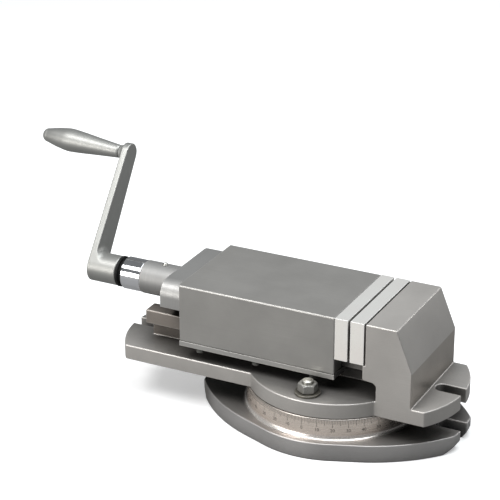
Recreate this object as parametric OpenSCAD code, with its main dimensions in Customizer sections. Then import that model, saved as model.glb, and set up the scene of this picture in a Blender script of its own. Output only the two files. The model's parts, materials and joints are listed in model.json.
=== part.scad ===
// Swivel-base machine vise. The swivel axis is the Z axis, the underside of the base is Z = 0,
// +X points from the crank towards the fixed jaw.

/* [Swivel base] */
// Thickness of the base plate
base_h = 20; // [16:0.5:26]
// Height of the graduated drum above the base plate
drum_h = 23.8; // [17:0.1:30]
// Radius of the graduated drum
drum_r = 97; // [92:0.5:100]
// Radius of the two long sides of the base
base_side_r = 184; // [180:0.5:187]
// How far the centres of the long sides lie from the axis
base_side_offset = 82; // [81.5:0.5:86]
// Radius of the round waist below the drum
base_waist_r = 107.5; // [106:0.5:112]
// Radius of the two ends of the base
base_end_r = 152; // [148:0.5:156]
// Width of the base slots
base_slot_w = 20; // [16:0.5:22]
// Where the base slots end, measured from the axis
base_slot_start = 118; // [112:0.5:122]
// Radius of the circle of the T-bolts
bolt_circle_r = 76; // [74:0.5:77]
// Radius of the centre pivot
pivot_r = 15; // [12:0.5:18]
// How far the T-bolts stand from the middle towards the fixed jaw
bolt_x = 1.8; // [0:0.1:3]

/* [Vise body] */
// Thickness of the flange and of its disc
flange_h = 17.5; // [15:0.5:22]
// Radius of the clamping disc
disc_r = 96; // [93:0.5:98]
// Reach of the flange under the fixed jaw
flange_right = 149.9; // [146:0.1:156]
// Reach of the flange under the crank
flange_left = 249.7; // [244:0.1:256]
// Radius of the flange ends
flange_end_r = 105; // [90:1:120]
// Width of the flange slots
flange_slot_w = 16; // [12:0.5:22]
// Length of the flange slots
flange_slot_l = 32.5; // [26:0.5:34]
// Left end of the bed
bed_left = 215; // [212:0.5:217]
// Height of the web under the rails
web_h = 20.5; // [19:0.5:22]
// Height of the rail tops above the flange
rail_top = 37; // [35:0.5:40]
// Half width over the rails
rail_half = 40; // [37:0.5:42]
// Half width of the web
web_half = 24; // [22:0.5:26]
// Half width of the channel between the rails
channel_half = 20; // [18:0.5:21]

/* [Jaws] */
// Width of the jaws and of the flange
jaw_w = 125; // [120:1:130]
// Height of the jaw tops above the flange
jaw_top = 87; // [84:0.5:90]
// Height of the jaw plates
plate_h = 48; // [46:0.5:48]
// Thickness of the fixed jaw plate
fixed_plate_t = 15.8; // [14:0.1:17]
// Thickness of the moving jaw plate
moving_plate_t = 14.9; // [13:0.1:16]
// Gripping face of the fixed jaw
fixed_face_x = 43.4; // [42:0.1:45]
// Gap between the jaws as shown
jaw_gap = 2.8; // [2.6:0.1:6]
// Length of the moving jaw without its plate
moving_l = 186.1; // [184:0.1:188]
// Thickness of the keeper strips
keeper_t = 5.8; // [5:0.1:7]

/* [Screw and crank] */
// Height of the screw axis above the flange
screw_height = 57.3; // [56:0.1:58]
// Outer radius of the screw thread
screw_r = 11; // [9:0.5:11.5]
// Radius of the screw journal
journal_r = 10; // [8:0.5:10.5]
// Radius of the grey bearing sleeve
sleeve_r = 19; // [17.5:0.5:20]
// Radius of the bright collar
collar_r = 18.5; // [16:0.5:19]
// Radius of the crank hub
hub_r = 17.2; // [15:0.1:18]
// Distance from the screw axis to the grip axis
crank_l = 136; // [120:1:150]
// Lean of the crank arm from the vertical
crank_tilt = 35.2; // [0:0.1:60]
// Thickness of the crank arm
arm_t = 8; // [7:0.5:12]
// Radius of the arm at the grip
arm_end_r = 12.3; // [12:0.1:14]
// Length of the grip
grip_l = 105.5; // [90:0.5:115]
// Largest radius of the grip
grip_r = 13.6; // [11:0.1:15]
// Outward lean of the grip from the screw axis
grip_lean = 2.5; // [0:0.5:5]

/* [Hidden] */
$fn = 96;
eps = 1;            // how far a cut runs past the face it opens
fit_gap = 0.05;     // radial clearance of a running fit
slide_gap = 0.3;    // clearance of a sliding fit

// Heights
drum_top = base_h + drum_h;
flange_top = drum_top + flange_h;
rail_z = flange_top + rail_top;
jaw_z = flange_top + jaw_top;
plate_z = jaw_z - plate_h;
screw_z = flange_top + screw_height;
keeper_z = flange_top + web_h - slide_gap;      // top of the keepers, just under the rails
half_w = jaw_w / 2;

// Lengthwise places, from the fixed jaw back to the crank
fixed_seat_x = fixed_face_x + fixed_plate_t;
moving_face_x = fixed_face_x - jaw_gap;
moving_front = moving_face_x - moving_plate_t;
moving_back = moving_front - moving_l;
moving_wall = 12;
cavity_back = moving_back + moving_wall;
cavity_front = moving_front - 26.7;
cavity_half = 25;
cavity_z = jaw_z - 7.5;
housing_l = 24.6;
housing_back = moving_back - housing_l;
sleeve_l = 50;
sleeve_back = housing_back - sleeve_l;
collar_l = 25.3;
collar_back = sleeve_back - 0.2 - collar_l;
wiper_l = 7.5;
hub_front = collar_back - wiper_l;
hub_l = 37;
hub_back = hub_front - hub_l;
grip_y = crank_l * sin(crank_tilt);
grip_z = screw_z + crank_l * cos(crank_tilt);
boss_l = 6.5;
grip_gap = 0.3;
axle_r = 4;
axle_depth = 72;
axle_foot = arm_t - 2;      // how deep the axle sits in the arm
oil_x = sleeve_back + 24;
oil_hole_r = 2.5;
oil_foot_z = screw_z + sleeve_r - 4;

// Swivel clamp
t_neck_half = 6.6;
t_head_half = 10.6;
t_lip = 9;
t_floor = base_h + 2;
bolt_r = 6;
bolt_head_r = 10;
washer_r = 14;
washer_t = 2.5;
nut_af = 19;
nut_h = 10;
stud_end = 16.5;
pivot_floor = 6;
pivot_proud = 10;

// Screws
m8_r = 4;
m8_head_r = 6.5;
m8_head_h = 8;
m6_r = 3;
m6_head_r = 5;
m6_head_h = 5.5;
m10_r = 5;
m10_head_r = 8;
m10_head_h = 10;
hex_ratio = 0.5774; // corner radius of a hexagon for each unit of its width across flats
plate_screw_y = 38;
plate_screw_depth = 16;
housing_screw_y = 30;
housing_screw_offset = 13.5;
housing_screw_depth = 14;
keeper_screw_y = 55;
keeper_screw_x = [moving_front - 26.7, moving_front - 95.2, moving_front - 163.7];
keeper_screw_l = 14;

// Nut of the lead screw
nut_l = 36;
nut_x = moving_back + 17.4;
nut_top_r = 17;
channel_z = flange_top + 27;
nut_screw_x = [nut_x + 9, nut_x + nut_l - 9];
nut_screw_l = 14;

// Thrust bearing at the back of the moving jaw
race_t = 3;
race_r = 15.6;
thrust_bore_r = 16;
thrust_collar_t = 5;
thrust_gap = 0.1;
spigot_l = housing_l - 2 * race_t - thrust_collar_t - 2 * thrust_gap - 0.2;
spigot_front = housing_back + spigot_l;
square_end = 14;
square_end_l = 30;

// A row of children turned so that an extrusion in Z runs along +X from x = start
module along_x(start) {
    translate([start, 0, 0]) rotate([90, 0, 90]) children();
}

// Round bar along X between two x values
module bar_x(x1, x2, r, y = 0, z = screw_z) {
    translate([x1, y, z]) rotate([0, 90, 0]) cylinder(h = x2 - x1, r = r);
}

module block(x1, x2, y1, y2, z1, z2) {
    translate([x1, y1, z1]) cube([x2 - x1, y2 - y1, z2 - z1]);
}

module both_sides() {
    children();
    mirror([0, 1, 0]) children();
}

// Socket head screw with its head's top at z = 0, pointing down
module socket_screw(r, head_r, head_h, length) {
    key_af = 1.7 * r;
    difference() {
        union() {
            translate([0, 0, -head_h]) cylinder(h = head_h, r = head_r);
            translate([0, 0, -head_h - length]) cylinder(h = length, r = r);
        }
        translate([0, 0, -head_h / 2]) cylinder(h = head_h, r = key_af * hex_ratio, $fn = 6);
    }
}

// Cut for such a screw: counterbore, clearance hole and threaded hole
module screw_cut(r, head_r, head_h, length) {
    translate([0, 0, -head_h]) cylinder(h = head_h + eps, r = head_r);
    translate([0, 0, -head_h - length]) cylinder(h = length + eps, r = r);
}

// Open slot whose round end starts at x = start
module slot_cut(start, reach, width, z, h) {
    translate([start + width / 2, 0, z - eps]) cylinder(h = h + 2 * eps, r = width / 2);
    block(start + width / 2, reach + eps, -width / 2, width / 2, z - eps, z + h + eps);
}

// Two long arcs and a round waist with straight flanks between them, cut off by the arc of the ends
module base_outline() {
    join_inset = 0.05;
    slant_y = (base_side_r - base_waist_r) / base_side_offset;
    slant_x = sqrt(1 - slant_y * slant_y);
    waist_x = (base_waist_r - join_inset) * slant_x;
    waist_y = (base_waist_r - join_inset) * slant_y;
    side_x = (base_side_r - join_inset) * slant_x;
    side_y = (base_side_r - join_inset) * slant_y - base_side_offset;
    intersection() {
        union() {
            intersection() {
                translate([0, base_side_offset]) circle(r = base_side_r, $fn = 240);
                translate([0, -base_side_offset]) circle(r = base_side_r, $fn = 240);
            }
            circle(r = base_waist_r, $fn = 240);
            polygon([
                [waist_x, waist_y], [side_x, side_y], [side_x, -side_y], [waist_x, -waist_y],
                [-waist_x, -waist_y], [-side_x, -side_y], [-side_x, side_y], [-waist_x, waist_y]
            ]);
        }
        circle(r = base_end_r, $fn = 240);
    }
}

module swivel_base() {
    fillet = 5;
    end_draft = 6;
    end_draft_h = 10;
    relief_in = 30;
    relief_out = 84;
    relief_h = 3;
    key_w = 14;
    key_h = 4;
    color([0.60, 0.60, 0.59]) difference() {
        union() {
            intersection() {
                linear_extrude(base_h) base_outline();
                rotate_extrude($fn = 240) polygon([
                    [0, 0],
                    [base_end_r - end_draft, 0],
                    [base_end_r + eps, end_draft_h],
                    [base_end_r + eps, base_h],
                    [0, base_h]
                ]);
            }
            translate([0, 0, base_h]) cylinder(h = drum_h, r = drum_r, $fn = 180);
            rotate_extrude($fn = 180) polygon(concat(
                [[bolt_circle_r, base_h - eps], [drum_r + fillet, base_h - eps]],
                [for (a = [0:15:90]) [drum_r + fillet * (1 - sin(a)), base_h + fillet * (1 - cos(a))]],
                [[bolt_circle_r, base_h + fillet]]
            ));
        }
        for (turn = [0, 180]) rotate([0, 0, turn]) {
            slot_cut(base_slot_start, base_end_r, base_slot_w, 0, base_h);
            block(relief_out - eps, base_slot_start + base_slot_w / 2, -key_w / 2, key_w / 2, -eps, key_h);
        }
        // annular T-slot and the pocket through which the bolts go in
        rotate_extrude() polygon([
            [bolt_circle_r - t_head_half, t_floor],
            [bolt_circle_r + t_head_half, t_floor],
            [bolt_circle_r + t_head_half, drum_top - t_lip],
            [bolt_circle_r + t_neck_half, drum_top - t_lip],
            [bolt_circle_r + t_neck_half, drum_top + eps],
            [bolt_circle_r - t_neck_half, drum_top + eps],
            [bolt_circle_r - t_neck_half, drum_top - t_lip],
            [bolt_circle_r - t_head_half, drum_top - t_lip]
        ]);
        rotate([0, 0, 45]) translate([bolt_circle_r, 0, t_floor + eps])
            cylinder(h = drum_top - t_floor, r = t_head_half);
        translate([0, 0, pivot_floor]) cylinder(h = drum_top, r = pivot_r);
        // cast relief under the base
        rotate_extrude() polygon([
            [relief_in, -eps], [relief_out, -eps], [relief_out, relief_h], [relief_in, relief_h]
        ]);
    }
}

module centre_pivot() {
    lead_in = 1.5;
    color([0.75, 0.75, 0.75]) rotate_extrude() polygon([
        [0, pivot_floor],
        [pivot_r, pivot_floor],
        [pivot_r, drum_top + pivot_proud - lead_in],
        [pivot_r - lead_in, drum_top + pivot_proud],
        [0, drum_top + pivot_proud]
    ]);
}

module t_bolts() {
    head_z = t_floor + 0.7;
    head_h = drum_top - t_lip - 0.2 - head_z;
    tip = 1.2;
    top = flange_top + stud_end;
    color([0.80, 0.80, 0.79]) both_sides() translate([bolt_x, -bolt_circle_r, 0]) {
        translate([0, 0, head_z]) cylinder(h = head_h, r = bolt_head_r);
        rotate_extrude() polygon([
            [0, head_z + head_h - eps],
            [bolt_r, head_z + head_h - eps],
            [bolt_r, top - tip],
            [bolt_r - 2 * tip, top],
            [0, top]
        ]);
    }
}

module clamp_washers() {
    color([0.82, 0.82, 0.80]) both_sides() translate([bolt_x, -bolt_circle_r, flange_top]) difference() {
        cylinder(h = washer_t, r = washer_r);
        translate([0, 0, -eps]) cylinder(h = washer_t + 2 * eps, r = bolt_r + 0.5);
    }
}

// Hexagon nut with both faces chamfered
module clamp_nut() {
    corner_r = nut_af * hex_ratio;
    chamfer = 1.2;
    translate([bolt_x, -bolt_circle_r, flange_top + washer_t]) difference() {
        intersection() {
            rotate([0, 0, 30]) cylinder(h = nut_h, r = corner_r, $fn = 6);
            rotate_extrude() polygon([
                [0, 0],
                [corner_r - 2 * chamfer, 0],
                [corner_r, chamfer],
                [corner_r, nut_h - chamfer],
                [corner_r - 2 * chamfer, nut_h],
                [0, nut_h]
            ]);
        }
        translate([0, 0, -eps]) cylinder(h = nut_h + 2 * eps, r = bolt_r + fit_gap);
    }
}

module clamp_nut_front() { color([0.84, 0.84, 0.82]) clamp_nut(); }

module clamp_nut_rear() { color([0.84, 0.84, 0.82]) mirror([0, 1, 0]) clamp_nut(); }

// Flange with its two arched ends, and the disc that clamps on the drum
module flange_outline() {
    length = flange_right + flange_left;
    intersection() {
        translate([-flange_left, -half_w]) square([length, jaw_w]);
        translate([flange_right - flange_end_r, 0]) circle(r = flange_end_r, $fn = 240);
    }
    intersection() {
        translate([-flange_left, -half_w]) square([length, jaw_w]);
        translate([flange_end_r - flange_left, 0]) circle(r = flange_end_r, $fn = 240);
    }
    translate([flange_end_r - flange_left, -half_w])
        square([length - 2 * flange_end_r, jaw_w]);
    circle(r = disc_r, $fn = 240);
}

// Side view of the fixed jaw: column, overhanging nose, plate seat and sloping back
module fixed_jaw_profile() {
    column_x = fixed_seat_x + 14.5;
    nose_x = fixed_seat_x - 1.2;
    back_x = fixed_seat_x + 54.8;
    slope_top_x = fixed_seat_x + 36.5;
    slope_z = flange_top + 42;
    nose_z = flange_top + web_h;
    corner = 3;
    polygon([
        [column_x, drum_top],
        [column_x, nose_z - corner],
        [column_x - corner, nose_z],
        [nose_x, nose_z + 1.5],
        [nose_x, plate_z],
        [fixed_seat_x, plate_z],
        [fixed_seat_x, jaw_z],
        [slope_top_x, jaw_z],
        [back_x, slope_z],
        [back_x, drum_top]
    ]);
}

module vise_body() {
    relief_w = 1.7;
    relief_d = 1.5;
    channel_end = fixed_seat_x - 14;
    color([0.58, 0.58, 0.57]) difference() {
        union() {
            translate([0, 0, drum_top]) linear_extrude(flange_h) flange_outline();
            block(-bed_left, fixed_seat_x + 30, -web_half, web_half, flange_top - eps, rail_z);
            block(-bed_left, fixed_seat_x + 20, -rail_half, rail_half, flange_top + web_h, rail_z);
            translate([0, half_w, 0]) rotate([90, 0, 0]) linear_extrude(jaw_w) fixed_jaw_profile();
        }
        slot_cut(flange_right - flange_slot_l, flange_right, flange_slot_w, drum_top, flange_h);
        mirror([1, 0, 0])
            slot_cut(flange_left - flange_slot_l, flange_left, flange_slot_w, drum_top, flange_h);
        block(-bed_left - eps, channel_end, -channel_half, channel_half, channel_z, rail_z + eps);
        both_sides() translate([bolt_x, -bolt_circle_r, drum_top - eps])
            cylinder(h = flange_h + 2 * eps, r = bolt_r + 0.5);
        translate([0, 0, drum_top - eps]) cylinder(h = pivot_proud + 2, r = pivot_r + fit_gap);
        for (x = nut_screw_x) translate([x, 0, drum_top]) rotate([180, 0, 0])
            screw_cut(m10_r + 0.25, m10_head_r + 0.5, m10_head_h, channel_z - drum_top);
        both_sides() translate([fixed_face_x, -plate_screw_y, (plate_z + jaw_z) / 2])
            rotate([0, -90, 0]) screw_cut(m8_r, m8_r, m8_head_h, fixed_plate_t + plate_screw_depth);
        // undercut round the plate seat
        block(fixed_seat_x, fixed_seat_x + relief_w, -half_w - eps, half_w + eps,
            jaw_z - relief_d, jaw_z + eps);
        both_sides() block(fixed_seat_x, fixed_seat_x + relief_w,
            -half_w - eps, relief_d - half_w, plate_z, jaw_z + eps);
    }
}

// Ground plate standing on the y-z plane, its gripping face at x = thickness, drilled for two screws
module jaw_plate(thickness) {
    difference() {
        block(0, thickness, -half_w, half_w, plate_z, jaw_z);
        both_sides() translate([thickness, -plate_screw_y, (plate_z + jaw_z) / 2])
            rotate([0, 90, 0]) {
                translate([0, 0, -m8_head_h]) cylinder(h = m8_head_h + eps, r = m8_head_r + 0.3);
                translate([0, 0, -thickness - eps]) cylinder(h = thickness, r = m8_r + 0.4);
            }
    }
}

module plate_screws(thickness) {
    both_sides() translate([thickness - 0.2, -plate_screw_y, (plate_z + jaw_z) / 2])
        rotate([0, 90, 0]) socket_screw(m8_r, m8_head_r, m8_head_h - 0.2, plate_screw_depth);
}

module fixed_jaw_plate() {
    color([0.88, 0.86, 0.83]) translate([fixed_seat_x, 0, 0]) mirror([1, 0, 0])
        jaw_plate(fixed_plate_t);
}

module fixed_plate_screws() {
    color([0.30, 0.30, 0.31]) translate([fixed_seat_x, 0, 0]) mirror([1, 0, 0])
        plate_screws(fixed_plate_t);
}

module lead_nut() {
    color([0.78, 0.62, 0.35]) difference() {
        union() {
            block(nut_x, nut_x + nut_l, 0.1 - channel_half, channel_half - 0.1, channel_z, screw_z);
            bar_x(nut_x, nut_x + nut_l, nut_top_r);
        }
        bar_x(nut_x - eps, nut_x + nut_l + eps, screw_r + fit_gap);
        for (x = nut_screw_x) translate([x, 0, channel_z - eps])
            cylinder(h = nut_screw_l + eps + 0.5, r = m10_r);
    }
}

module nut_screws() {
    length = channel_z + nut_screw_l - drum_top - m10_head_h;
    color([0.30, 0.30, 0.31]) for (x = nut_screw_x) translate([x, 0, drum_top])
        rotate([180, 0, 0]) socket_screw(m10_r, m10_head_r, m10_head_h, length);
}

module moving_jaw() {
    color([0.60, 0.60, 0.59]) difference() {
        block(moving_back, moving_front, -half_w, half_w, keeper_z, jaw_z);
        block(moving_back - eps, moving_front + eps, -rail_half - slide_gap, rail_half + slide_gap,
            keeper_z - eps, rail_z);
        block(cavity_back, cavity_front, -cavity_half, cavity_half, rail_z - eps, cavity_z);
        bar_x(moving_back - eps, cavity_back + eps, screw_r + 2);
        both_sides() translate([moving_face_x, -plate_screw_y, (plate_z + jaw_z) / 2])
            rotate([0, 90, 0]) screw_cut(m8_r, m8_r, m8_head_h, moving_plate_t + plate_screw_depth);
        both_sides() for (x = keeper_screw_x) translate([x, -keeper_screw_y, keeper_z - eps])
            cylinder(h = keeper_screw_l + eps + 0.5, r = m6_r);
        both_sides() for (side = [-1, 1])
            bar_x(moving_back - eps, moving_back + housing_screw_depth + 0.5, m8_r,
                housing_screw_y, screw_z + 2 + side * housing_screw_offset);
    }
}

module moving_jaw_plate() {
    color([0.88, 0.86, 0.83]) translate([moving_front, 0, 0]) jaw_plate(moving_plate_t);
}

module moving_plate_screws() {
    color([0.30, 0.30, 0.31]) translate([moving_front, 0, 0]) plate_screws(moving_plate_t);
}

// Gib strip screwed under the moving jaw, reaching under one rail
module keeper() {
    difference() {
        block(moving_back, moving_front, -half_w, -web_half - 3, keeper_z - keeper_t, keeper_z);
        for (x = keeper_screw_x) translate([x, -keeper_screw_y, keeper_z - keeper_t - eps])
            cylinder(h = keeper_t + 2 * eps, r = m6_r + 0.3);
    }
}

module keeper_front() { color([0.64, 0.63, 0.62]) keeper(); }

module keeper_rear() { color([0.64, 0.63, 0.62]) mirror([0, 1, 0]) keeper(); }

module keeper_screws() {
    color([0.72, 0.70, 0.68]) both_sides() for (x = keeper_screw_x)
        translate([x, -keeper_screw_y, keeper_z - keeper_t - m6_head_h]) rotate([180, 0, 0])
            socket_screw(m6_r, m6_head_r, m6_head_h, keeper_t + keeper_screw_l);
}

// End view of the screw housing: flat top with large round shoulders, sides drawn in below
module housing_outline() {
    top = jaw_z - 3;
    side = 60.4;
    shoulder = 17;
    side_low = screw_z - 2;
    foot = 30;
    low = rail_z + 1.5;
    polygon([
        [-foot, low], [foot, low], [side, side_low], [side, top - shoulder],
        [side - shoulder, top - shoulder], [side - shoulder, top],
        [shoulder - side, top], [shoulder - side, top - shoulder],
        [-side, top - shoulder], [-side, side_low]
    ]);
    for (y = [shoulder - side, side - shoulder]) translate([y, top - shoulder]) circle(r = shoulder);
}

module screw_housing() {
    color([0.66, 0.66, 0.65]) difference() {
        along_x(housing_back) linear_extrude(housing_l) housing_outline();
        bar_x(housing_back - eps, moving_back + eps, thrust_bore_r);
        both_sides() for (side = [-1, 1]) {
            z = screw_z + 2 + side * housing_screw_offset;
            bar_x(housing_back - eps, moving_back + eps, m8_r + 0.4, housing_screw_y, z);
            bar_x(housing_back - eps, housing_back + m8_head_h, m8_head_r + 0.3, housing_screw_y, z);
        }
    }
}

module housing_screws() {
    length = housing_l - m8_head_h + housing_screw_depth;
    color([0.30, 0.30, 0.31]) both_sides() for (side = [-1, 1])
        translate([housing_back, housing_screw_y, screw_z + 2 + side * housing_screw_offset])
            rotate([0, -90, 0]) socket_screw(m8_r, m8_head_r, m8_head_h, length);
}

// Long sleeve that carries the screw journal, with a spigot in the housing
module bearing_sleeve() {
    color([0.66, 0.66, 0.66]) difference() {
        union() {
            bar_x(sleeve_back, housing_back, sleeve_r);
            bar_x(housing_back - eps, spigot_front, thrust_bore_r);
        }
        bar_x(sleeve_back - eps, spigot_front + eps, journal_r + fit_gap);
        translate([oil_x, 0, oil_foot_z]) cylinder(h = 5, r = oil_hole_r);
    }
}

module oil_nipple() {
    rest_z = screw_z + sleeve_r + fit_gap;
    color([0.86, 0.85, 0.82]) translate([oil_x, 0, 0]) rotate_extrude() polygon([
        [0, oil_foot_z], [oil_hole_r, oil_foot_z], [oil_hole_r, rest_z], [3.4, rest_z],
        [3.4, rest_z + 1], [2, rest_z + 1.4], [2.2, rest_z + 2], [1.4, rest_z + 2.8], [0, rest_z + 2.8]
    ]);
}

module thrust_races() {
    first = spigot_front;
    second = moving_back - 0.2 - race_t;
    color([0.70, 0.70, 0.72]) for (x = [first, second]) difference() {
        bar_x(x, x + race_t, race_r);
        bar_x(x - eps, x + race_t + eps, journal_r + 0.3);
    }
}

module lead_screw() {
    tip_x = cavity_front - 4;
    thrust_x = spigot_front + race_t + thrust_gap;
    chamfer = 1.5;
    half_square = square_end / 2;
    color([0.72, 0.72, 0.73]) {
        bar_x(moving_back - 0.2 - race_t - eps, tip_x - chamfer, journal_r);
        bar_x(moving_back, tip_x - chamfer, screw_r);
        translate([tip_x - chamfer, 0, screw_z]) rotate([0, 90, 0])
            cylinder(h = chamfer, r1 = screw_r, r2 = screw_r - chamfer);
        bar_x(thrust_x, thrust_x + thrust_collar_t, thrust_bore_r - 0.5);
        bar_x(hub_front, thrust_x + thrust_collar_t + race_t, journal_r);
        block(hub_front - square_end_l, hub_front + eps, -half_square, half_square,
            screw_z - half_square, screw_z + half_square);
    }
}

module chrome_collar() {
    chamfer = 0.8;
    color([0.92, 0.92, 0.93]) difference() {
        translate([collar_back, 0, screw_z]) rotate([0, 90, 0]) rotate_extrude() polygon([
            [0, 0], [collar_r - chamfer, 0], [collar_r, chamfer],
            [collar_r, collar_l - chamfer], [collar_r - chamfer, collar_l], [0, collar_l]
        ]);
        bar_x(collar_back - eps, collar_back + collar_l + eps, journal_r);
    }
}

module wiper_ring() {
    lip_l = 3;
    neck_r = 14.5;
    color([0.05, 0.05, 0.05]) difference() {
        union() {
            bar_x(hub_front, collar_back, neck_r);
            bar_x(hub_front, hub_front + lip_l, hub_r + 0.5);
        }
        bar_x(hub_front - eps, collar_back + eps, journal_r);
    }
}

// Side view of the crank arm, seen along X: two circles joined by their common tangents
module arm_outline() {
    spread = acos((hub_r - arm_end_r) / crank_l);
    function rim(r, angle) = [r * sin(angle), r * cos(angle)];
    tip = [0, crank_l];
    rotate(-crank_tilt) {
        circle(r = hub_r);
        translate(tip) circle(r = arm_end_r);
        polygon([
            rim(hub_r, -spread), rim(hub_r, spread),
            tip + rim(arm_end_r, spread), tip + rim(arm_end_r, -spread)
        ]);
    }
}

// Children drawn along +Z run outwards from the arm's back face along the grip axis
module along_grip() {
    translate([hub_back, grip_y, grip_z]) rotate([-crank_tilt, 0, 0])
        rotate([0, grip_lean - 90, 0]) children();
}

// Flared boss that the grip turns against
module grip_boss() {
    boss_r = 11.5;
    neck_r = 8.2;
    along_grip() rotate_extrude() polygon(concat(
        [[0, -1], [boss_r, -1], [boss_r, 0.5]],
        [for (a = [15:15:90])
            [boss_r - (boss_r - neck_r) * sin(a), 0.5 + (boss_l - 0.5) * (1 - cos(a))]],
        [[0, boss_l]]
    ));
}

module crank_arm() {
    blend = 8;
    socket_half = square_end / 2 + 0.1;
    rim = 1.2;
    blend_arc = [for (a = [0:10:90]) [hub_r + blend - blend * sin(a), arm_t + blend - blend * cos(a)]];
    color([0.62, 0.62, 0.61]) difference() {
        union() {
            translate([0, 0, screw_z]) along_x(hub_back) linear_extrude(arm_t) arm_outline();
            translate([hub_back, 0, screw_z]) rotate([0, 90, 0]) rotate_extrude() polygon([
                [0, 0], [hub_r, 0], [hub_r, hub_l - rim], [hub_r - rim, hub_l], [0, hub_l]
            ]);
            // rounded inside corner between the arm and the hub
            intersection() {
                translate([hub_back, 0, screw_z]) rotate([0, 90, 0]) rotate_extrude()
                    polygon(concat([[0, arm_t], [hub_r + blend, arm_t]], blend_arc,
                        [[hub_r, arm_t + blend], [0, arm_t + blend]]));
                translate([0, 0, screw_z]) along_x(hub_back) linear_extrude(hub_l) arm_outline();
            }
            grip_boss();
        }
        block(hub_front - square_end_l - 1, hub_front + eps, -socket_half, socket_half,
            screw_z - socket_half, screw_z + socket_half);
        along_grip() translate([0, 0, -axle_foot]) cylinder(h = axle_foot + boss_l + eps, r = axle_r);
    }
}

// Spindle pressed into the arm, which carries the grip
module grip_axle() {
    color([0.70, 0.70, 0.69]) along_grip() translate([0, 0, -axle_foot])
        cylinder(h = axle_foot + boss_l + grip_gap + axle_depth - 1, r = axle_r);
}

// Turned grip: long taper, round belly, short front taper and a round nose
module grip() {
    neck_r = 7.6;
    belly = 0.645 * grip_l;
    nose_r = 7;
    front_r = 8.2;
    belly_half = 5;
    belly_drop = 0.4;
    color([0.60, 0.60, 0.60]) along_grip() translate([0, 0, boss_l + grip_gap]) difference() {
        rotate_extrude() polygon(concat(
            [
                [0, 0], [neck_r - 0.8, 0], [neck_r, 0.8],
                [grip_r - belly_drop, belly - belly_half], [grip_r, belly],
                [grip_r - belly_drop, belly + belly_half - 1]
            ],
            [for (a = [0:18:90]) [
                front_r - nose_r + nose_r * cos(a),
                grip_l - nose_r + nose_r * sin(a)
            ]],
            [[0, grip_l]]
        ));
        translate([0, 0, -eps]) cylinder(h = axle_depth + eps, r = axle_r + fit_gap);
    }
}

swivel_base();
centre_pivot();
t_bolts();
clamp_washers();
clamp_nut_front();
clamp_nut_rear();
vise_body();
fixed_jaw_plate();
fixed_plate_screws();
lead_nut();
nut_screws();
moving_jaw();
moving_jaw_plate();
moving_plate_screws();
keeper_front();
keeper_rear();
keeper_screws();
screw_housing();
housing_screws();
bearing_sleeve();
oil_nipple();
thrust_races();
lead_screw();
chrome_collar();
wiper_ring();
crank_arm();
grip_axle();
grip();
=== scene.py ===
"""Looks of the swivel-base machine vise.

Materials, softened edges, the degree scale, the turned grip, the forged crank, floor, light and camera.
"""
import json
import math

import bmesh
import bpy
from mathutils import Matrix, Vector


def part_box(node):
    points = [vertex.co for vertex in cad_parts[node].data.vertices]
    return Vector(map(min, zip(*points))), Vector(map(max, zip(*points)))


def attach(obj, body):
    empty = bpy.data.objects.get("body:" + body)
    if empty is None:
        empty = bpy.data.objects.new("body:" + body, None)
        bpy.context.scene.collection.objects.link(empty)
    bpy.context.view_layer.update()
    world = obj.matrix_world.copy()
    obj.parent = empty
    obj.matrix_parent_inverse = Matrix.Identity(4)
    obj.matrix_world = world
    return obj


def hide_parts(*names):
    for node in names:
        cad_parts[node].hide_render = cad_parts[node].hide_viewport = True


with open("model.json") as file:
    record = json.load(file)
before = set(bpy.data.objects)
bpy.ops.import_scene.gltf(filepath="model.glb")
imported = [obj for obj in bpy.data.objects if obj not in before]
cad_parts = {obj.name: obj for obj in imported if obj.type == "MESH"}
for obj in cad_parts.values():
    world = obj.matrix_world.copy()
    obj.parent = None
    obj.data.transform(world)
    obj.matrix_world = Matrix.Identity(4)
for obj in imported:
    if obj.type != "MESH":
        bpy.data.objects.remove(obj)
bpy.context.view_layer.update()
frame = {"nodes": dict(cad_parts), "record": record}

MM = 0.001
WELD_GAP = 0.002 * MM  # CAD points closer than this are joined before the edges are rounded


# ---------------------------------------------------------------- materials

NOISE_LOW, NOISE_HIGH = 0.3, 0.7  # most values of a noise lie between these
WEAR_AND_HIGHLIGHT_RADIUS = 1.5 * MM  # edges sharper than this get a bright tone, part wear and part painted highlight
WEAR_AND_HIGHLIGHT_REACH = 12 * MM  # how far round an edge the openness is read, so that hollow edges get no bright edge tone
MARK_DEPTH = 0.02 * MM  # depth of the satin grain and of the tool marks
FADE_X, FADE_Z = 0.4 * MM, 0.5 * MM  # half the width over which a region's tone fades in


def new_material(name):
    """A material, its node tree and its Principled shader."""
    material = bpy.data.materials.new(name)
    material.use_nodes = True
    tree = material.node_tree
    return material, tree, tree.nodes["Principled BSDF"]


def object_coords(tree, scale=(1.0, 1.0, 1.0)):
    """Object coordinates, in metres, stretched by scale."""
    coords = tree.nodes.new("ShaderNodeTexCoord")
    mapping = tree.nodes.new("ShaderNodeMapping")
    mapping.inputs["Scale"].default_value = scale
    tree.links.new(coords.outputs["Object"], mapping.inputs["Vector"])
    return mapping.outputs["Vector"]


def object_place(tree):
    """Object coordinates, in metres, as the outputs X, Y and Z."""
    coords = tree.nodes.new("ShaderNodeTexCoord")
    split = tree.nodes.new("ShaderNodeSeparateXYZ")
    tree.links.new(coords.outputs["Object"], split.inputs["Vector"])
    return split.outputs


def noise(tree, vector, scale, detail=2.0, roughness=0.5):
    """A noise of about 0.3 to 0.7; scale is how often it changes in a unit of vector."""
    node = tree.nodes.new("ShaderNodeTexNoise")
    node.inputs["Scale"].default_value = scale
    node.inputs["Detail"].default_value = detail
    node.inputs["Roughness"].default_value = roughness
    tree.links.new(vector, node.inputs["Vector"])
    return node.outputs["Fac"]


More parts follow.
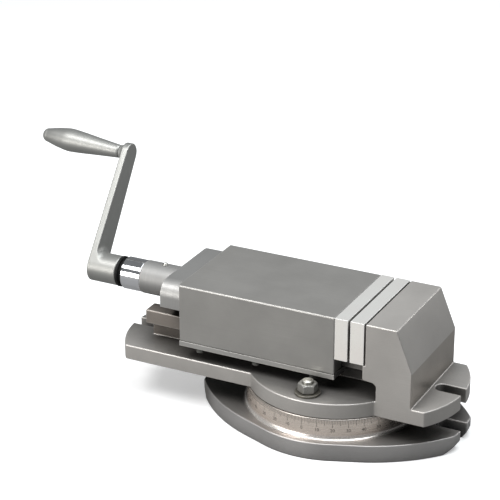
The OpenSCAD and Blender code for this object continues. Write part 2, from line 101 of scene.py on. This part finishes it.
def remap(tree, value, low, high, to_low, to_high):
    """Carries low to high over to to_low to to_high, and clamps what lies outside."""
    node = tree.nodes.new("ShaderNodeMapRange")
    node.inputs["From Min"].default_value = low
    node.inputs["From Max"].default_value = high
    node.inputs["To Min"].default_value = to_low
    node.inputs["To Max"].default_value = to_high
    tree.links.new(value, node.inputs["Value"])
    return node.outputs["Result"]


def calculate(tree, operation, first, second):
    """One Math node; each operand is a float or an output socket."""
    node = tree.nodes.new("ShaderNodeMath")
    node.operation = operation
    for socket, value in zip(node.inputs, (first, second)):
        if isinstance(value, float):
            socket.default_value = value
        else:
            tree.links.new(value, socket)
    return node.outputs["Value"]


def blend_colours(tree, factor, first, second):
    """Mix of two colours; each is a tuple or an output socket."""
    node = tree.nodes.new("ShaderNodeMix")
    node.data_type = "RGBA"
    tree.links.new(factor, node.inputs["Factor"])
    for socket, colour in ((node.inputs[6], first), (node.inputs[7], second)):
        if isinstance(colour, tuple):
            socket.default_value = (*colour, 1.0)
        else:
            tree.links.new(colour, socket)
    return node.outputs[2]


def edge_mask(tree, radius):
    """About 1 on edges sharper than radius, 0 on flat faces."""
    bevel = tree.nodes.new("ShaderNodeBevel")
    bevel.samples = 4
    bevel.inputs["Radius"].default_value = radius
    geometry = tree.nodes.new("ShaderNodeNewGeometry")
    dot = tree.nodes.new("ShaderNodeVectorMath")
    dot.operation = "DOT_PRODUCT"
    tree.links.new(bevel.outputs["Normal"], dot.inputs[0])
    tree.links.new(geometry.outputs["Normal"], dot.inputs[1])
    return remap(tree, dot.outputs["Value"], 0.995, 0.90, 0.0, 1.0)


def bump(tree, height, strength, distance, normal=None):
    """A normal disturbed by height, laid over normal where one is given."""
    node = tree.nodes.new("ShaderNodeBump")
    node.inputs["Strength"].default_value = strength
    node.inputs["Distance"].default_value = distance
    tree.links.new(height, node.inputs["Height"])
    if normal is not None:
        tree.links.new(normal, node.inputs["Normal"])
    return node.outputs["Normal"]


def openness(tree, reach):
    """1 in the open, about 0.5 in a square corner, near 0 in a slot narrower than reach."""
    node = tree.nodes.new("ShaderNodeAmbientOcclusion")
    node.samples = 6
    node.inputs["Distance"].default_value = reach
    return node.outputs["AO"]


def tinted(tree, colour, factor):
    """A colour multiplied by a grey value; both are output sockets."""
    node = tree.nodes.new("ShaderNodeVectorMath")
    node.operation = "SCALE"
    tree.links.new(colour, node.inputs[0])
    tree.links.new(factor, node.inputs["Scale"])
    return node.outputs["Vector"]


def height_bands(tree, stops):
    """Colours by height; stops are (metres, colour), and the colour is blended between two stops."""
    low, high = stops[0][0], stops[-1][0]
    ramp = tree.nodes.new("ShaderNodeValToRGB")
    ramp.color_ramp.interpolation = "LINEAR"
    while len(ramp.color_ramp.elements) < len(stops):
        ramp.color_ramp.elements.new(0.5)
    for element, (height, colour) in zip(ramp.color_ramp.elements, stops):
        element.position = (height - low) / (high - low)
        element.color = (*colour, 1.0)
    tree.links.new(remap(tree, object_place(tree)["Z"], low, high, 0.0, 1.0), ramp.inputs["Fac"])
    return ramp.outputs["Color"]


def inside(tree, axis, low, high, soft):
    """1 where the object coordinate on axis lies between low and high, 0 outside."""
    place = object_place(tree)[axis]
    above = remap(tree, place, low - soft, low + soft, 0.0, 1.0)
    below = remap(tree, place, high - soft, high + soft, 1.0, 0.0)
    return calculate(tree, "MULTIPLY", above, below)


def multiplied(tree, first, second):
    """Two colours multiplied; both are output sockets."""
    node = tree.nodes.new("ShaderNodeVectorMath")
    node.operation = "MULTIPLY"
    tree.links.new(first, node.inputs[0])
    tree.links.new(second, node.inputs[1])
    return node.outputs["Vector"]


def worked_metal(name, colour, roughness, streaks, cloud=0.10, grain=0.05, streak_depth=0.3, wear_and_highlight=0.7,
                 corner_shade=0.12, reach=45 * MM, slot=0.05, clear=0.6, metallic=0.6,
                 bands=None, sheen_bands=None, shade_zones=()):
    """Machined metal: cloudy tone, fine satin grain, tool streaks, painted shade in hollows and a
    bright edge tone that is part wear, part painted highlight.

    streaks is how often the tool marks change along X, Y and Z, in cycles a metre.
    corners is the tone left where the openness within reach falls to slot, as painted shade; at clear
    it is full.
    bands and sheen_bands, where given, are height_bands stops for the colour and the roughness; the
    colour stops hold painted shade and painted highlights.
    zones are (x low, x high, z low, z high, tint) regions darkened by tint, as painted shade.
    """
    material, tree, shader = new_material(name)
    plain = object_coords(tree)
    cloudy = noise(tree, plain, 16.0, 4.0, 0.55)
    satin = noise(tree, plain, 1100.0, 2.0, 0.6)
    marks = noise(tree, object_coords(tree, streaks), 1.0, 3.0, 0.6)
    dark = tuple(c * (1 - cloud) for c in colour)
    light = tuple(min(1.0, c * (1 + cloud)) for c in colour)
    body = blend_colours(tree, remap(tree, cloudy, NOISE_LOW, NOISE_HIGH, 0.0, 1.0), dark, light)
    streak = tuple(c * 0.86 for c in colour)
    body = blend_colours(tree, remap(tree, marks, 0.35, 0.75, 0.0, 0.35), body, streak)
    # painted shade: the colour darkens in corners, slots and under overhangs as the openness falls
    body = tinted(tree, body, remap(tree, openness(tree, reach), slot, clear, corner_shade, 1.0))
    # the height bands paint shade and highlights by height
    if bands:
        body = multiplied(tree, body, height_bands(tree, bands))
    # painted shade in the listed regions
    for x_low, x_high, z_low, z_high, tint in shade_zones:
        zone = calculate(tree, "MULTIPLY", inside(tree, "X", x_low, x_high, FADE_X),
                         inside(tree, "Z", z_low, z_high, FADE_Z))
        body = multiplied(tree, body, blend_colours(tree, zone, (1.0, 1.0, 1.0), tint))
    # convex edges are brightened: part wear, part painted highlight on the chamfers
    convex = remap(tree, openness(tree, WEAR_AND_HIGHLIGHT_REACH), 0.72, 0.88, 0.0, wear_and_highlight)
    edges = calculate(tree, "MULTIPLY", edge_mask(tree, WEAR_AND_HIGHLIGHT_RADIUS), convex)
    bright = tuple(min(1.0, c * 1.5 + 0.22) for c in colour)
    tree.links.new(blend_colours(tree, edges, body, bright), shader.inputs["Base Color"])
    gloss = calculate(tree, "ADD", remap(tree, satin, NOISE_LOW, NOISE_HIGH, -grain, grain),
                      remap(tree, marks, NOISE_LOW, NOISE_HIGH, roughness - grain, roughness + grain))
    if sheen_bands:
        gloss = calculate(tree, "MULTIPLY", gloss, height_bands(tree, sheen_bands))
    tree.links.new(gloss, shader.inputs["Roughness"])
    shader.inputs["Metallic"].default_value = metallic
    normal = bump(tree, satin, 0.25, MARK_DEPTH)
    tree.links.new(bump(tree, marks, streak_depth, MARK_DEPTH, normal), shader.inputs["Normal"])
    return material


def polished_metal(name, colour, roughness, streaks):
    """Chrome: mirror gloss with faint turning rings and a slight haze."""
    material, tree, shader = new_material(name)
    rings = noise(tree, object_coords(tree, streaks), 1.0, 2.0, 0.5)
    haze = noise(tree, object_coords(tree), 90.0, 3.0, 0.5)
    dark = tuple(c * 0.93 for c in colour)
    tree.links.new(blend_colours(tree, haze, dark, colour), shader.inputs["Base Color"])
    gloss = calculate(tree, "ADD", remap(tree, haze, NOISE_LOW, NOISE_HIGH, 0.0, roughness),
                      remap(tree, rings, NOISE_LOW, NOISE_HIGH, 0.0, roughness))
    tree.links.new(gloss, shader.inputs["Roughness"])
    shader.inputs["Metallic"].default_value = 1.0
    tree.links.new(bump(tree, rings, 0.12, 0.01 * MM), shader.inputs["Normal"])
    return material


def dull_coating(name, colour, roughness, metallic=0.0):
    """Black oxide, seal rubber or engraver's paint: dark, with a fine uneven sheen."""
    material, tree, shader = new_material(name)
    plain = object_coords(tree)
    speckle = noise(tree, plain, 800.0, 4.0, 0.6)
    patches = noise(tree, plain, 120.0, 3.0, 0.5)
    light = tuple(min(1.0, c * 1.8 + 0.01) for c in colour)
    tree.links.new(blend_colours(tree, remap(tree, patches, 0.35, 0.7, 0.0, 1.0), colour, light),
                   shader.inputs["Base Color"])
    sheen = remap(tree, speckle, NOISE_LOW, NOISE_HIGH, roughness - 0.08, roughness + 0.08)
    tree.links.new(sheen, shader.inputs["Roughness"])
    shader.inputs["Metallic"].default_value = metallic
    shader.inputs["Specular IOR Level"].default_value = 0.2
    tree.links.new(bump(tree, speckle, 0.3, 0.03 * MM), shader.inputs["Normal"])
    return material


# how often the tool marks change along X, Y and Z, in cycles a metre
ALONG_X = (12.0, 1500.0, 1500.0)
ALONG_Y = (1500.0, 10.0, 1500.0)
ROUND_X = (1400.0, 6.0, 6.0)
ROUND_Z = (9.0, 9.0, 1400.0)

# tone of the base by height: side; top darkened as painted shade and reflection; fillet brightened as a
# painted highlight; warm drum in its own machined colour; top of the drum darkened as painted shade
# over its edge highlight
BASE_TONES_AND_PAINTED_LIGHT = (
    (0.0, (1.0, 1.0, 1.0)),
    (19.2 * MM, (1.0, 1.0, 1.0)),
    (19.9 * MM, (0.80, 0.78, 0.76)),
    (20.3 * MM, (0.80, 0.78, 0.76)),
    (21.2 * MM, (1.75, 1.72, 1.66)),
    (23.5 * MM, (1.6, 1.5, 1.42)),
    (26.0 * MM, (1.62, 1.46, 1.32)),
    (42.4 * MM, (1.75, 1.60, 1.46)),
    (43.0 * MM, (0.80, 0.74, 0.68)),
    (50.0 * MM, (0.80, 0.74, 0.68)),
)
# roughness of the base by height, as a factor: the fillet and the drum shine more than the side
BASE_SHEEN = (
    (0.0, (1.0, 1.0, 1.0)),
    (20.0 * MM, (1.0, 1.0, 1.0)),
    (21.0 * MM, (0.62, 0.62, 0.62)),
    (50.0 * MM, (0.72, 0.72, 0.72)),
)
# where the back of the fixed jaw lies: the farthest point of the body more than 80 mm up
JAW_BACK = max(vert.co.x for vert in frame["nodes"]["vise_body"].data.vertices if vert.co.z > 80 * MM)
# painted shade: the rails under the moving jaw and the back of the fixed jaw are darkened
BODY_PAINTED_SHADE_ZONES = (
    (-0.30, 0.02, 62.0 * MM, 99.0 * MM, (0.54, 0.50, 0.47)),
    (JAW_BACK - 1.2 * MM, JAW_BACK + 1.0 * MM, 62.5 * MM, 102.0 * MM, (0.74, 0.71, 0.68)),
)
# painted shade: the tops of the jaw plates are darkened against their fronts
PLATE_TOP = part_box("fixed_jaw_plate")[1].z
PLATE_TOP_PAINTED_SHADE = (
    (0.0, (1.0, 1.0, 1.0)),
    (PLATE_TOP - 0.6 * MM, (1.0, 1.0, 1.0)),
    (PLATE_TOP - 0.2 * MM, (0.70, 0.71, 0.72)),
    (PLATE_TOP + 1.0 * MM, (0.70, 0.71, 0.72)),
)

# the long reach paints shade on the flange top under the moving jaw and on faces near the floor
BODY_STEEL = worked_metal("satin_body_steel", (0.50, 0.478, 0.452), 0.42, ALONG_X,
                          reach=100 * MM, slot=0.2, clear=0.85, shade_zones=BODY_PAINTED_SHADE_ZONES)
JAW_STEEL = worked_metal("satin_jaw_steel", (0.355, 0.345, 0.328), 0.40, ALONG_X)
# the deep corner tone paints shade on the base top under the flange
BASE_STEEL = worked_metal("satin_base_steel", (0.50, 0.485, 0.475), 0.40, ROUND_Z,
                          corner_shade=0.05, slot=0.28, metallic=0.75,
                          bands=BASE_TONES_AND_PAINTED_LIGHT, sheen_bands=BASE_SHEEN)
KEEPER_STEEL = worked_metal("ground_keeper_steel", (0.42, 0.41, 0.39), 0.36, ALONG_X, cloud=0.05)
PLATE_STEEL = worked_metal("ground_plate_steel", (1.0, 0.95, 0.90), 0.34, ALONG_Y,
                           cloud=0.04, metallic=0.4, bands=PLATE_TOP_PAINTED_SHADE)
CRANK_STEEL = worked_metal("satin_crank_steel", (0.345, 0.345, 0.33), 0.46, ROUND_X, cloud=0.06,
                           corner_shade=0.4, metallic=0.75)
HOUSING_STEEL = worked_metal("satin_housing_steel", (0.36, 0.355, 0.345), 0.46, ROUND_X, cloud=0.07,
                             corner_shade=0.3, metallic=0.7)
SLEEVE_STEEL = worked_metal("satin_sleeve_steel", (0.30, 0.297, 0.29), 0.54, ROUND_X, cloud=0.07,
                            corner_shade=0.3, metallic=0.65)
BRIGHT_STEEL = worked_metal("bright_steel", (0.66, 0.65, 0.60), 0.30, ROUND_Z, cloud=0.1, metallic=1.0)
NUT_STEEL = worked_metal("nut_steel", (0.30, 0.295, 0.275), 0.32, ROUND_Z, cloud=0.1)
WASHER_STEEL = worked_metal("washer_steel", (0.16, 0.15, 0.125), 0.38, ROUND_Z, cloud=0.15, wear_and_highlight=0.9)
SMALL_SCREWS = worked_metal("small_screw_steel", (0.13, 0.13, 0.12), 0.40, ROUND_Z, cloud=0.1)
BRONZE = worked_metal("machined_bronze", (0.60, 0.40, 0.18), 0.35, ALONG_X)
CHROME = polished_metal("polished_chrome", (0.90, 0.90, 0.92), 0.05, ROUND_X)
BLACK_OXIDE = dull_coating("black_oxide", (0.03, 0.03, 0.033), 0.42, 0.6)
SEAL_RUBBER = dull_coating("seal_rubber", (0.003, 0.003, 0.003), 0.65)
ENGRAVED = dull_coating("engraved_paint", (0.05, 0.045, 0.04), 0.6)


# ---------------------------------------------------------------- CAD nodes

# node: (material, width of the softened edges in mm)
FINISHES = {
    "swivel_base": (BASE_STEEL, 1.2),
    "centre_pivot": (BRIGHT_STEEL, 0.3),
    "t_bolts": (BRIGHT_STEEL, 0.3),
    "clamp_washers": (WASHER_STEEL, 0.5),
    "clamp_nut_front": (NUT_STEEL, 0.4),
    "clamp_nut_rear": (NUT_STEEL, 0.4),
    "vise_body": (BODY_STEEL, 1.25),
    "fixed_jaw_plate": (PLATE_STEEL, 0.4),
    "fixed_plate_screws": (BLACK_OXIDE, 0.3),
    "lead_nut": (BRONZE, 0.5),
    "nut_screws": (BLACK_OXIDE, 0.3),
    "moving_jaw": (JAW_STEEL, 1.8),
    "moving_jaw_plate": (PLATE_STEEL, 0.4),
    "moving_plate_screws": (BLACK_OXIDE, 0.3),
    "keeper_front": (KEEPER_STEEL, 0.4),
    "keeper_rear": (KEEPER_STEEL, 0.4),
    "keeper_screws": (SMALL_SCREWS, 0.5),
    "screw_housing": (HOUSING_STEEL, 0.5),
    "housing_screws": (BLACK_OXIDE, 0.4),
    "bearing_sleeve": (SLEEVE_STEEL, 0.6),
    "oil_nipple": (BRIGHT_STEEL, 0.2),
    "thrust_races": (BRIGHT_STEEL, 0.3),
    "lead_screw": (BRIGHT_STEEL, 0.3),
    "chrome_collar": (CHROME, 0.2),
    "wiper_ring": (SEAL_RUBBER, 0.5),
    "grip_axle": (CRANK_STEEL, 0.4),
}


def soften(obj, width):
    """Rounds an object's hard edges with modifiers, and drops the normals stored in its mesh."""
    mesh = obj.data
    if mesh.has_custom_normals:
        with bpy.context.temp_override(object=obj, active_object=obj, selected_objects=[obj]):
            bpy.ops.mesh.customdata_custom_splitnormals_clear()
    mesh.polygons.foreach_set("use_smooth", [True] * len(mesh.polygons))
    weld = obj.modifiers.new("join_faces", "WELD")
    weld.merge_threshold = WELD_GAP
    flat = obj.modifiers.new("merge_flats", "DECIMATE")
    flat.decimate_type = "DISSOLVE"
    flat.angle_limit = math.radians(0.4)
    bevel = obj.modifiers.new("soft_edges", "BEVEL")
    bevel.width = width
    bevel.segments = 3
    bevel.limit_method = "ANGLE"
    bevel.angle_limit = math.radians(32.0)
    bevel.use_clamp_overlap = False
    bevel.harden_normals = True
    bevel.miter_outer = "MITER_ARC"


def finish_nodes():
    """Gives every CAD node of FINISHES its material and its softened edges."""
    for name, (material, width) in FINISHES.items():
        obj = frame["nodes"][name]
        obj.data.materials.clear()
        obj.data.materials.append(material)
        soften(obj, width * MM)


# ---------------------------------------------------------------- pieces made here


def add_mesh(name, bm, material, smooth=True):
    """Makes an object of bm and frees bm."""
    mesh = bpy.data.meshes.new(name)
    bm.to_mesh(mesh)
    bm.free()
    mesh.materials.append(material)
    mesh.polygons.foreach_set("use_smooth", [smooth] * len(mesh.polygons))
    obj = bpy.data.objects.new(name, mesh)
    bpy.context.scene.collection.objects.link(obj)
    return obj


DRUM_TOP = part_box("swivel_base")[1].z
DRUM_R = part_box("vise_body")[1].y + 1.0 * MM  # the drum stands 1 mm proud of the disc
MARK_PROUD = 0.04 * MM  # how far marks and numbers stand proud of the drum, and reach into it
MARK_DROP = 0.7 * MM  # from the top of the drum to the top of the marks
NUMBER_DROP = 14.6 * MM  # from the top of the drum to the foot of the numbers
NUMBER_SIZE = 5.2 * MM
SCALE_TURN = 2.7  # degrees that the scale's zero lies past the front, towards +X


def on_drum(angle, height, lift):
    """A point on the drum's wall, angle in radians from -Y, positive towards +X."""
    r = DRUM_R + lift
    return Vector((r * math.sin(angle), -r * math.cos(angle), height))


def degree_marks():
    """One line a degree, longer at every fifth and tenth, in dark paint."""
    bm = bmesh.new()
    top = DRUM_TOP - MARK_DROP
    for degree in range(360):
        length = 9.0 if degree % 10 == 0 else 6.5 if degree % 5 == 0 else 4.5
        half = (0.22 if degree % 5 == 0 else 0.16) * MM / DRUM_R
        middle = math.radians(degree + SCALE_TURN)
        rings = []
        for height in (top, top - length * MM):
            rings.append([
                bm.verts.new(on_drum(middle - half, height, -MARK_PROUD)),
                bm.verts.new(on_drum(middle - half, height, MARK_PROUD)),
                bm.verts.new(on_drum(middle + half, height, MARK_PROUD)),
                bm.verts.new(on_drum(middle + half, height, -MARK_PROUD)),
            ])
        close_box(bm, rings)
    return add_mesh("degree_marks", bm, ENGRAVED, smooth=False)


def close_box(bm, rings):
    """Walls between two four-point rings, and a cap on each."""
    first, last = rings
    for i in range(4):
        j = (i + 1) % 4
        bm.faces.new((first[i], first[j], last[j], last[i]))
    bm.faces.new(tuple(reversed(first)))
    bm.faces.new(tuple(last))
    bmesh.ops.recalc_face_normals(bm, faces=bm.faces)


def text_mesh(body, size, thickness):
    """A mesh of one word lying in X-Y, centred on X."""
    curve = bpy.data.curves.new("number", "FONT")
    curve.body = body
    curve.size = size
    curve.align_x = "CENTER"
    curve.extrude = thickness
    curve.resolution_u = 3
    obj = bpy.data.objects.new("number", curve)
    bpy.context.scene.collection.objects.link(obj)
    depsgraph = bpy.context.evaluated_depsgraph_get()
    mesh = bpy.data.meshes.new_from_object(obj.evaluated_get(depsgraph))
    bpy.data.objects.remove(obj)
    bpy.data.curves.remove(curve)
    return mesh


def degree_numbers():
    """0 at the front and back, 90 at the ends, a number at every tenth degree."""
    bm = bmesh.new()
    foot = DRUM_TOP - NUMBER_DROP
    for degree in range(0, 360, 10):
        shown = min(degree % 180, 180 - degree % 180)
        mesh = text_mesh(str(shown), NUMBER_SIZE, MARK_PROUD)
        start = len(bm.verts)
        bm.from_mesh(mesh)
        bm.verts.ensure_lookup_table()
        for vert in bm.verts[start:]:
            angle = math.radians(degree + SCALE_TURN) + vert.co.x / DRUM_R
            vert.co = on_drum(angle, foot + vert.co.y, vert.co.z)
        bpy.data.meshes.remove(mesh)
    return add_mesh("degree_numbers", bm, ENGRAVED, smooth=False)


def joint_line(name):
    """Where a joint's axis lies: a point on it and its direction."""
    joint = next(j for j in frame["record"]["behaviour"]["joints"] if j["name"] == name)
    return Vector(joint["pos_m"]), Vector(joint["axis"]).normalized()


def lathe(profile, foot, axis, steps=72):
    """A closed solid turned about axis; profile holds (distance from foot along it, radius)."""
    side = axis.orthogonal().normalized()
    other = axis.cross(side)
    bm = bmesh.new()
    rings = []
    for along, radius in profile:
        ring = []
        for step in range(steps):
            angle = 2 * math.pi * step / steps
            outwards = side * math.cos(angle) + other * math.sin(angle)
            ring.append(bm.verts.new(foot + axis * along + outwards * radius))
        rings.append(ring)
    for first, second in zip(rings, rings[1:]):
        for i in range(steps):
            j = (i + 1) % steps
            bm.faces.new((first[i], first[j], second[j], second[i]))
    bm.faces.new(rings[0])
    bm.faces.new(tuple(reversed(rings[-1])))
    bmesh.ops.recalc_face_normals(bm, faces=bm.faces)
    return bm


def smooth_profile(points, steps=10):
    """A soft cubic curve through (distance, radius) points that never overshoots them."""
    slopes = []
    for i, (x, r) in enumerate(points):
        if 0 < i < len(points) - 1:
            before = (r - points[i - 1][1]) / (x - points[i - 1][0])
            after = (points[i + 1][1] - r) / (points[i + 1][0] - x)
            slopes.append(0.0 if before * after <= 0 else 2 * before * after / (before + after))
        else:
            a, b = (points[0], points[1]) if i == 0 else (points[-2], points[-1])
            slopes.append((b[1] - a[1]) / (b[0] - a[0]))
    out = []
    for (x0, r0), (x1, r1), m0, m1 in zip(points, points[1:], slopes, slopes[1:]):
        for step in range(steps):
            t = step / steps
            h = x1 - x0
            out.append((x0 + t * h,
                        (2 * t**3 - 3 * t**2 + 1) * r0 + (t**3 - 2 * t**2 + t) * h * m0
                        + (3 * t**2 - 2 * t**3) * r1 + (t**3 - t**2) * h * m1))
    out.append(points[-1])
    return out


def turned_grip():
    """The revolving handle: long taper from the neck to a round belly, short taper to the nose."""
    foot, axis = joint_line("grip_spin")
    along = [(vert.co - foot).dot(axis) for vert in frame["nodes"]["grip"].data.vertices]
    foot = foot + axis * min(along)
    length = max(along) - min(along)
    out = [(vert.co - foot).cross(axis).length for vert in frame["nodes"]["grip"].data.vertices]
    radius = max(out)
    neck = 7.6 * MM
    nose = 7.0 * MM
    nose_r = 8.2 * MM
    flank = [
        (0.8 * MM, neck),
        (0.30 * length, neck + 0.48 * (radius - neck)),
        (0.52 * length, neck + 0.86 * (radius - neck)),
        (0.645 * length, radius),
        (0.76 * length, nose_r + 0.74 * (radius - nose_r)),
        (0.87 * length, nose_r + 0.32 * (radius - nose_r)),
        (length - nose, nose_r),
    ]
    profile = [(0.0, 2.0 * MM), (0.0, neck - 0.8 * MM)] + smooth_profile(flank)
    for step in range(1, 13):
        angle = math.radians(90 * step / 12)
        profile.append((length - nose + nose * math.sin(angle), nose_r - nose + nose * math.cos(angle)))
    obj = add_mesh("turned_grip", lathe(profile, foot, axis), CRANK_STEEL)
    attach(obj, "grip")
    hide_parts("grip")


def forged_crank():
    """The crank with its edges forged round: a fine skin over the CAD arm, smoothed a little."""
    mesh = frame["nodes"]["crank_arm"].data.copy()
    mesh.name = "forged_crank"
    mesh.materials.clear()
    mesh.materials.append(CRANK_STEEL)
    obj = bpy.data.objects.new("forged_crank", mesh)
    bpy.context.scene.collection.objects.link(obj)
    weld = obj.modifiers.new("join_faces", "WELD")
    weld.merge_threshold = WELD_GAP
    skin = obj.modifiers.new("skin", "REMESH")
    skin.mode = "VOXEL"
    skin.voxel_size = 0.5 * MM
    skin.use_smooth_shade = True
    rounding = obj.modifiers.new("forged_edges", "SMOOTH")
    rounding.factor = 0.5
    rounding.iterations = 22
    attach(obj, "lead_screw")
    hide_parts("crank_arm")


def make_pieces():
    """The degree scale on the base, the grip and the crank."""
    for maker in (degree_marks, degree_numbers):
        obj = maker()
        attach(obj, "base")
    turned_grip()
    forged_crank()


# ---------------------------------------------------------------- stage, light and camera


def floor():
    """A plain pale floor; what it throws back on the object is dimmer than what the camera sees."""
    drop = 0.1 * MM
    bpy.ops.mesh.primitive_plane_add(size=14.0, location=(0.0, 0.0, -drop))
    plane = bpy.context.object
    plane.name = "studio_floor"
    material, tree, shader = new_material("studio_floor")
    path = tree.nodes.new("ShaderNodeLightPath")
    pale = blend_colours(tree, path.outputs["Is Camera Ray"], (0.24, 0.24, 0.24), (0.90, 0.90, 0.90))
    tree.links.new(pale, shader.inputs["Base Color"])
    shader.inputs["Emission Color"].default_value = (1.0, 1.0, 1.0, 1.0)
    glow = calculate(tree, "MULTIPLY", path.outputs["Is Camera Ray"], 0.35)
    tree.links.new(glow, shader.inputs["Emission Strength"])
    shader.inputs["Roughness"].default_value = 0.85
    shader.inputs["Specular IOR Level"].default_value = 0.1
    plane.data.materials.append(material)


def softbox(name, place, target, size, power, colour=(1.0, 1.0, 1.0)):
    """A rectangular lamp of size metres and power watts at place, turned to target."""
    light = bpy.data.lights.new(name, "AREA")
    light.shape = "RECTANGLE"
    light.size, light.size_y = size
    light.energy = power
    light.color = colour
    obj = bpy.data.objects.new(name, light)
    bpy.context.scene.collection.objects.link(obj)
    obj.location = place
    obj.rotation_mode = "QUATERNION"
    obj.rotation_quaternion = (Vector(target) - Vector(place)).to_track_quat("-Z", "Y")


def studio():
    """A dim cool sky and four lamps."""
    world = bpy.data.worlds.new("studio")
    bpy.context.scene.world = world
    world.use_nodes = True
    background = world.node_tree.nodes["Background"]
    background.inputs["Color"].default_value = (0.93, 0.97, 1.0, 1.0)
    background.inputs["Strength"].default_value = 0.20
    middle = (-0.05, 0.0, 0.08)
    softbox("key", (-0.95, -0.95, 1.9), middle, (0.9, 0.9), 27.0)
    softbox("overhead", (0.3, 0.1, 2.0), middle, (1.6, 1.6), 38.0, (0.95, 0.98, 1.0))
    softbox("rim", (1.2, 1.9, 0.75), middle, (1.0, 0.7), 7.0)
    softbox("front", (-1.4, -2.2, 0.6), middle, (1.8, 1.1), 34.0, (1.0, 0.985, 0.96))
    bpy.context.scene.view_settings.view_transform = "Standard"


def camera():
    """The photo's view: azimuth from -Y towards +X, and elevation above the table."""
    azimuth, elevation = math.radians(26.64), math.radians(23.47)
    target = Vector((-0.1048, 0.0, 0.1764))
    distance = 2.109
    data = bpy.data.cameras.new("camera")
    data.sensor_width = 36.0
    data.lens = 138.96
    data.clip_start, data.clip_end = 0.05, 60.0
    obj = bpy.data.objects.new("camera", data)
    bpy.context.scene.collection.objects.link(obj)
    back = Vector((math.sin(azimuth) * math.cos(elevation), -math.cos(azimuth) * math.cos(elevation),
                   math.sin(elevation)))
    obj.location = target + back * distance
    obj.rotation_mode = "QUATERNION"
    obj.rotation_quaternion = (-back).to_track_quat("-Z", "Y")
    bpy.context.scene.camera = obj


finish_nodes()
make_pieces()
floor()
studio()
camera()
